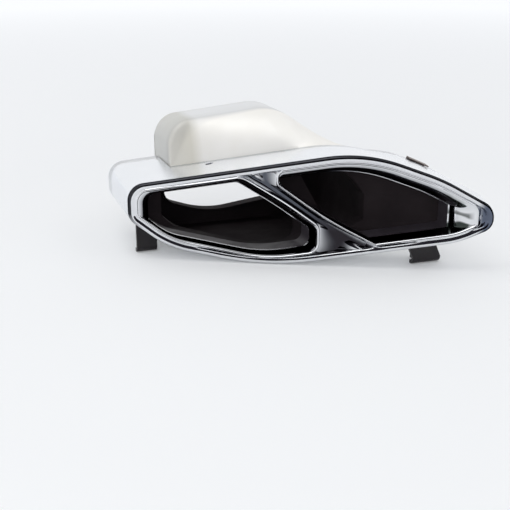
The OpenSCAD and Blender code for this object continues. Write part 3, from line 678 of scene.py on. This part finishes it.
def seat_ring(d):
    out = []
    for p in outline(inset(SEAT, d), SECTION_EDGES):
        lift = 0
        if p.imag > 0 and p.real > LEFT_S + SLIP:
            lift = lookup(p.real, UPPER) - lookup(p.real, SEAT_TOP)
        elif p.imag <= 0 and p.real < LOW_LEFT_S + SEAT_REACH:
            lift = lookup(p.real, LOWER) - lookup(p.real, SEAT_LOW)
        out.append(on_face(p + 1j * lift, COLLAR_DEPTH))
    return out


def upright(p, y):
    return Vector((p.real, y - CENTRE_Y, p.imag))


def section_ring(c, d, y, back=0):
    """The outline c inset by d at depth y, moved back by the given distance on the right flank."""
    ring = outline(inset(c, d), SECTION_EDGES)
    return [upright(p, y + back * smooth((p.real - FLANK_FROM) / FLANK_OVER)) for p in ring]


def dome(a, b, steps):
    """Rows of the dome between two rings, over its bulge."""
    rows = []
    for t in steps:
        row = []
        for p, q in zip(a, b):
            knee = Vector((q.x, mix(p.y, q.y, DOME_KNEE), q.z))
            row.append(p * (1 - t) ** 2 + knee * 2 * t * (1 - t) + q * t * t)
        rows.append(row)
    return rows


def make_housing():
    t = SHEET
    steps = [k / DOME_ROWS for k in range(1, DOME_ROWS)]
    seat_out, seat_in = seat_ring(0), seat_ring(t)
    out = section_ring(SHOULDER, 0, SHOULDER_Y, FLANK_BACK)
    into = section_ring(SHOULDER, t, SHOULDER_Y + t, FLANK_BACK - t)
    rows = [seat_in, seat_out] + dome(seat_out, out, steps) + [out]
    for k in range(REAR_ROWS + 1):
        a = math.pi / 2 * k / REAR_ROWS
        rows.append(section_ring(REAR, REAR_R * (1 - math.cos(a)), HOUSING_Y - REAR_R + REAR_R * math.sin(a)))
    rows += [section_ring(DUCT, -SLIP, HOUSING_Y), section_ring(DUCT, -SLIP, HOUSING_Y - t)]
    inner_from = len(rows) - 1
    rows += [section_ring(REAR, REAR_R, HOUSING_Y - t), section_ring(REAR, t, HOUSING_Y - REAR_R), into]
    rows += dome(seat_in, into, steps[::-1])
    work = Patchwork()
    work.grid(rows, True, True, (inner_from, len(rows)))
    return add_mesh("housing_pot", work, "rear_housing", 40)


def make_duct():
    lip_y = HOUSING_Y + SLIP
    rows = [
        section_ring(DUCT, DUCT_SHEET, HOUSING_Y - DUCT_L),
        section_ring(DUCT, 0, HOUSING_Y - DUCT_L),
        section_ring(DUCT, 0, lip_y),
        section_ring(DUCT, -DUCT_LIP, lip_y),
        section_ring(DUCT, -DUCT_LIP, lip_y + DUCT_SHEET),
        section_ring(DUCT, DUCT_SHEET, lip_y + DUCT_SHEET),
    ]
    work = Patchwork()
    work.grid(rows, True, True, (2, 4))
    return add_mesh("inlet_sleeve", work, "inner_duct", 30)


# Materials
class Nodes:
    """Adds nodes to a tree, with each input linked to a socket or set to a value."""

    def __init__(self, tree):
        self.tree = tree

    def join(self, node, inputs):
        for key, value in inputs.items():
            if isinstance(value, bpy.types.NodeSocket):
                self.tree.links.new(value, node.inputs[key])
            else:
                node.inputs[key].default_value = value
        return node

    def add(self, kind, inputs, operation=None):
        node = self.tree.nodes.new("ShaderNode" + kind)
        if operation:
            node.operation = operation
        return self.join(node, inputs)

    def ranged(self, source, low, high, start=0.35, end=0.65):
        keys = {"Value": source, "From Min": start, "From Max": end, "To Min": low, "To Max": high}
        return self.add("MapRange", keys).outputs["Result"]

    def times(self, a, c):
        return self.add("Math", {0: a, 1: c}, "MULTIPLY").outputs[0]

    def dot(self, source, direction):
        return self.add("VectorMath", {0: source, 1: direction}, "DOT_PRODUCT").outputs["Value"]

    def blend(self, factor, a, c, kind="MIX"):
        """The colours a and c, each four values or a socket, mixed by factor."""
        node = self.tree.nodes.new("ShaderNodeMix")
        node.data_type, node.blend_type = "RGBA", kind
        return self.join(node, {"Factor": factor, "A": a, "B": c}).outputs["Result"]

    def ramp(self, source, stops):
        node = self.add("ValToRGB", {"Fac": source})
        elements = node.color_ramp.elements
        for _ in stops[2:]:
            elements.new(1)
        for element, (place, shade) in zip(elements, stops):
            element.position, element.color = place, shade
        return node.outputs["Color"]

    def seen_rays(self):
        """1 for rays from the camera, in reflections and through glass, and 0 for the rest."""
        path = self.add("LightPath", {}).outputs
        out = path["Is Camera Ray"]
        for name in ("Is Glossy Ray", "Is Transmission Ray"):
            out = self.add("Math", {0: out, 1: path[name]}, "MAXIMUM").outputs[0]
        return out


def rgb(*values):
    return (*values, 1)


# Painted shade and painted reflections for the chrome: a dark specular tint and near-black for the throats'
# shaded walls, dark olive for the reflection bands on the wall at the right end, and slate for the divider's
# shaded valley.
WHITE, PAINTED_SHADE_SPECULAR, END_WALL_PAINTED_REFLECTION = rgb(1, 1, 1), rgb(0.05, 0.05, 0.05), rgb(0.05, 0.06, 0.055)
VALLEY_PAINTED_SHADE, THROAT_PAINTED_SHADE = rgb(0.09, 0.098, 0.118), rgb(0.03, 0.027, 0.032)
# Painted reflection: how strongly the dark wavy bands show on the wall at the right end, by height.
END_WALL_REFLECTION_BANDS = [
    (at, rgb(v, v, v))
    for at, v in (
        (0, 1), (0.24, 1), (0.3, 0), (0.42, 0), (0.47, 0.85), (0.54, 0.7), (0.6, 0), (0.82, 0), (0.9, 0.8)
    )
]


def paint_face_shading(tree, tone, coords, place, waves):
    """The face's tone with painted shade and painted reflections: a slate valley, near-black lower and deep
    throat walls, and dark wavy bands on the wall at the right end. Also the dimmed tint of the grazing
    reflections on the shaded walls. Places are in metres."""
    depth = tree.dot(coords, (FORWARD / ALONG, 1, 0))

    def behind(a, c, low=0, high=1):
        """From low to high between a and c mm behind the face."""
        return tree.ranged(depth, low, high, (a - CENTRE_Y) * MM, (c - CENTRE_Y) * MM)

    # clear: left of the wall at the right end and in front of the throats' hems
    clear = tree.times(tree.ranged(place["X"], 1, 0, 0.076, 0.086), behind(13.4, 14.2, 1, 0))
    low_wall = tree.times(clear, tree.ranged(place["Z"], 1, 0, 0.024, 0.042))
    # Painted shade: the divider's valley darkened to a slate grey.
    tone = tree.blend(tree.times(behind(1.3, 3.6), clear), tone, VALLEY_PAINTED_SHADE)
    grazing = WHITE
    # Painted shade: the throats' lower walls from 2 mm deep, and all their walls from 5 mm deep short of the
    # hems and the right end, turn near-black with dimmed reflections.
    for amount in (tree.times(behind(2, 3.6), low_wall), tree.times(behind(5, 9), clear)):
        grazing = tree.blend(amount, grazing, PAINTED_SHADE_SPECULAR)
        tone = tree.blend(amount, tone, THROAT_PAINTED_SHADE)
    # Painted reflection: dark wavy olive bands across the wall at the right end.
    wavy = tree.add("Math", {0: waves, 1: 0.014, 2: place["Z"]}, "MULTIPLY_ADD").outputs[0]
    bands = tree.ramp(tree.ranged(wavy, 0, 1, 0.030, 0.060), END_WALL_REFLECTION_BANDS)
    at_end = tree.times(
        tree.ranged(place["X"], 0, 1, 0.078, 0.083), tree.ranged(place["X"], 1, 0, 0.098, 0.101)
    )
    return tree.blend(tree.times(bands, tree.times(at_end, behind(1.5, 3))), tone, END_WALL_PAINTED_REFLECTION), grazing


def material(name, base, metallic, rough, grain, spec=0.5, grazing=None, painted_shading=False, bands=()):
    """A mottled Principled material. rough is its range of roughness, grain its bump as (noise
    settings, strength, distance), and bands its tints of painted shade and painted reflection as (axis, places
    in mm, colours)."""
    m = bpy.data.materials.new(name)
    m.use_nodes = True
    tree = Nodes(m.node_tree)
    coords = tree.add("TexCoord", {}).outputs["Object"]

    def noise(scale, detail=3.0, stretch_by=(1, 1, 1)):
        mapped = tree.add("Mapping", {"Vector": coords, "Scale": stretch_by}).outputs[0]
        return tree.add("TexNoise", {"Vector": mapped, "Scale": scale, "Detail": detail}).outputs["Fac"]

    tone = tree.blend(tree.ranged(noise(35, 4), 0, 1), *base)
    if bands or painted_shading:
        place = tree.add("SeparateXYZ", {0: coords}).outputs
    # Bands of painted shade and painted reflection along one axis, multiplied into the tone.
    for axis, places, colours in bands:
        first, reach = places[0], places[-1] - places[0]
        stops = [((at - first) / reach, c) for at, c in zip(places, colours)]
        share_of = tree.ranged(place[axis], 0, 1, first * MM, (first + reach) * MM)
        tone = tree.blend(1, tone, tree.ramp(share_of, stops), "MULTIPLY")
    if painted_shading:
        tone, grazing = paint_face_shading(tree, tone, coords, place, noise(45, 1, (1, 1, 2)))
    settings, strength, distance = grain
    bump = {"Height": noise(*settings), "Strength": strength, "Distance": distance}
    inputs = {
        "Base Color": tone,
        "Metallic": metallic,
        "Roughness": tree.ranged(noise(60, 5, (1, 1.6, 1)), *rough),
        "Specular IOR Level": spec,
        "Normal": tree.add("Bump", bump).outputs["Normal"],
    }
    if grazing:
        inputs["Specular Tint"] = grazing
    tree.join(m.node_tree.nodes["Principled BSDF"], inputs)
    return m


CHROME = (rgb(0.80, 0.81, 0.83), rgb(0.74, 0.75, 0.775))
# Painted reflection: the right end of the face and its rim darkened to navy.
RIGHT_END_PAINTED_REFLECTION = ("X", (-110, 99.5, 103.5, 110), (WHITE, WHITE, rgb(0.13, 0.15, 0.20), rgb(0.17, 0.19, 0.25)))
# Painted shade: the rim's outer bevel turns near-black towards the top.
RIM_PAINTED_SHADE = ("Z", (22, 32), (WHITE, rgb(0.05, 0.05, 0.055)))
# Painted reflection: the housing greyer from its crease to the rear.
CREASE_PAINTED_REFLECTION = (
    "Y",
    (36, 43.5, 48, 60),
    (WHITE, rgb(0.74, 0.755, 0.79), rgb(0.80, 0.82, 0.86), rgb(0.82, 0.84, 0.88)),
)
# Painted reflection: a khaki tint on the housing's left side.
KHAKI_PAINTED_REFLECTION = ("X", (-80, -60, -53), (rgb(0.84, 0.835, 0.81), rgb(0.82, 0.81, 0.76), WHITE))


def make_materials():
    """The finishes by name."""
    return {
        # The chrome face, with painted shade and painted reflections: the darker valley, the dark throat walls
        # and the bands on the wall at the right end.
        "face": material(
            "chrome_face", CHROME, 1, (0.02, 0.05), ((420, 4), 0.02, 0.0002), painted_shading=True, bands=(RIGHT_END_PAINTED_REFLECTION,)
        ),
        # The rim's outer bevel, with painted shade: near-black towards the top, navy at the right end, and with
        # dimmed grazing reflections.
        "edge": material(
            "chrome_edge", CHROME, 1, (0.03, 0.07), ((420, 4), 0.02, 0.0002),
            grazing=rgb(0.25, 0.25, 0.26), bands=(RIGHT_END_PAINTED_REFLECTION, RIM_PAINTED_SHADE),
        ),
        "band": material(
            "chrome_band", (rgb(0.85, 0.87, 0.905), rgb(0.825, 0.845, 0.88)), 0.92, (0.2, 0.26),
            ((300, 4, (1, 6, 1)), 0.03, 0.0002),
        ),
        # The housing's drawn steel, greyer from the crease rearwards and khaki on its left side, both painted
        # reflections.
        "satin": material(
            "drawn_steel", (rgb(0.94, 0.925, 0.885), rgb(0.91, 0.89, 0.84)), 0.3, (0.5, 0.6),
            ((700, 3, (1, 0.1, 1)), 0.03, 0.0001), bands=(CREASE_PAINTED_REFLECTION, KHAKI_PAINTED_REFLECTION),
        ),
        "liner": material(
            "liner_black", (rgb(0.042, 0.036, 0.043), rgb(0.055, 0.047, 0.056)), 0, (0.42, 0.55),
            ((1500, 3), 0.12, 0.0002), spec=0.3,
        ),
        # Painted shade: a near-black flat finish, darker than the liners' paint, for the deep inner walls of
        # the housing, duct and liners.
        "inner_shade": material(
            "inner_shade_black", (rgb(0.022, 0.017, 0.019), rgb(0.03, 0.024, 0.026)), 0, (0.65, 0.8),
            ((1500, 3), 0.12, 0.0002), spec=0.06,
        ),
        "paint": material(
            "bracket_paint", (rgb(0.008, 0.006, 0.0075), rgb(0.014, 0.011, 0.013)), 0, (0.32, 0.5),
            ((1100, 3), 0.1, 0.0002), spec=0.35,
        ),
        "clip": material(
            "clip_steel", (rgb(0.13, 0.10, 0.09), rgb(0.22, 0.18, 0.165)), 0.7, (0.28, 0.42),
            ((900, 3), 0.1, 0.0002),
        ),
    }


def give(obj, *mats):
    while len(obj.data.materials) < len(mats):
        obj.data.materials.append(mats[0])
    for i, s in enumerate(obj.material_slots):
        s.material = mats[min(i, len(mats) - 1)]
    return obj


# Camera, at the photograph's place and angle, with its focal length and width in pixels
PHOTO_FOCAL, PHOTO_WIDTH, SENSOR = 944, 510, 36
CAMERA_AT, CAMERA_YAW, CAMERA_PITCH = (-228.6, -592.6, 217), 19, 19.2


def make_camera():
    data = bpy.data.cameras.new("camera")
    data.sensor_width = SENSOR
    data.lens = SENSOR * PHOTO_FOCAL / PHOTO_WIDTH
    data.clip_start, data.clip_end = 0.01, 50
    cam = bpy.data.objects.new("camera", data)
    bpy.context.scene.collection.objects.link(cam)
    yaw, pitch = math.radians(CAMERA_YAW), math.radians(CAMERA_PITCH)
    look = Vector((math.sin(yaw) * math.cos(pitch), math.cos(yaw) * math.cos(pitch), -math.sin(pitch)))
    cam.location = Vector(CAMERA_AT) * MM
    cam.rotation_euler = look.to_track_quat("-Z", "Y").to_euler()
    bpy.context.scene.camera = cam


def area(name, place, target, size, power):
    data = bpy.data.lights.new(name, "AREA")
    data.shape, data.size, data.size_y = "RECTANGLE", size, size
    data.energy = power
    obj = bpy.data.objects.new(name, data)
    obj.location = place
    obj.rotation_euler = (Vector(target) - Vector(place)).to_track_quat("-Z", "Y").to_euler()
    bpy.context.scene.collection.objects.link(obj)
    return obj


FLOOR_SIZE = 30
FLOOR_CLOTH, FLOOR_GLOW = rgb(0.88, 0.885, 0.88), rgb(0.97, 0.985, 1)
ROOM_LIGHT, ROOM_STRENGTH = rgb(0.93, 0.95, 1), 0.58
# What the camera and the reflections see of the room, by the angle to its darker side
DARK_SIDE = (-0.34, -0.93, 0.12)
ROOM_SHADES = [
    (0, rgb(0.97, 0.975, 0.98)),
    (0.55, rgb(0.93, 0.94, 0.96)),
    (0.72, rgb(0.30, 0.29, 0.30)),
    (0.82, rgb(0.03, 0.028, 0.035)),
    (1, rgb(0.012, 0.011, 0.016)),
]


def make_floor():
    bpy.ops.mesh.primitive_plane_add(size=FLOOR_SIZE, location=(0, 0, 0))
    floor = bpy.context.object
    floor.name = "floor"
    m = bpy.data.materials.new("floor_pale")
    m.use_nodes = True
    tree, nodes = Nodes(m.node_tree), m.node_tree.nodes
    cloth = tree.join(nodes["Principled BSDF"], {"Base Color": FLOOR_CLOTH, "Roughness": 0.9})
    # Paler with the distance from the part, where the lamps reach less
    away = tree.add("VectorMath", {0: tree.add("TexCoord", {}).outputs["Object"]}, "LENGTH").outputs["Value"]
    paler = tree.ranged(away, 0.10, 0.46, 0.3, 2.2)
    glow = tree.add("Emission", {"Color": FLOOR_GLOW, "Strength": tree.times(tree.seen_rays(), paler)})
    total = tree.add("AddShader", {0: cloth.outputs[0], 1: glow.outputs[0]})
    tree.join(nodes["Material Output"], {"Surface": total.outputs[0]})
    floor.data.materials.append(m)


def make_world():
    """A pale room with a darker side behind the camera, and an even light for the rest."""
    world = bpy.data.worlds.new("studio")
    bpy.context.scene.world = world
    world.use_nodes = True
    world.node_tree.nodes.clear()
    tree = Nodes(world.node_tree)
    facing = tree.dot(tree.add("TexCoord", {}).outputs["Generated"], Vector(DARK_SIDE).normalized())
    shown = tree.add("Background", {"Color": tree.ramp(facing, ROOM_SHADES)})
    lit = tree.add("Background", {"Color": ROOM_LIGHT, "Strength": ROOM_STRENGTH})
    pick = tree.add("MixShader", {0: tree.seen_rays(), 1: lit.outputs[0], 2: shown.outputs[0]})
    tree.add("OutputWorld", {0: pick.outputs[0]})


def make_studio():
    bpy.context.scene.view_settings.view_transform = "Standard"
    make_floor()
    make_world()
    area("key", place=(-0.6, 0.1, 1.4), target=(0, 0, 0.03), size=1.2, power=6.2)
    area("fill", place=(0.9, -0.3, 1.0), target=(0, 0, 0.03), size=0.8, power=2)
    front = area("front", place=(-0.7, -1.3, 0.9), target=(0, 0.05, 0.06), size=0.9, power=4.4)
    front.visible_glossy = False


make_camera()
mats = make_materials()
give(make_bezel(), mats["face"], mats["edge"])
give(make_collar(), mats["band"])
# The housing's inner walls and the duct's body take the near-black painted shade.
give(make_housing(), mats["satin"], mats["inner_shade"])
give(make_duct(), mats["inner_shade"], mats["satin"])
# The liners' wide rear ends take the near-black painted shade inside.
for name, node, throat, flare, limits, sampler in (
    ("liner_left", "left_liner", LEFT_THROAT, LEFT_FLARE, LEFT_LIMITS, left_ring),
    ("liner_right", "right_liner", RIGHT_THROAT, RIGHT_FLARE, RIGHT_LIMITS, right_ring),
):
    give(make_liner(name, node, throat, flare, limits, sampler), mats["liner"], mats["inner_shade"])
for node in ("left_bracket", "right_bracket"):
    give(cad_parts[node], mats["paint"])
give(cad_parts["edge_clip"], mats["clip"])
make_studio()
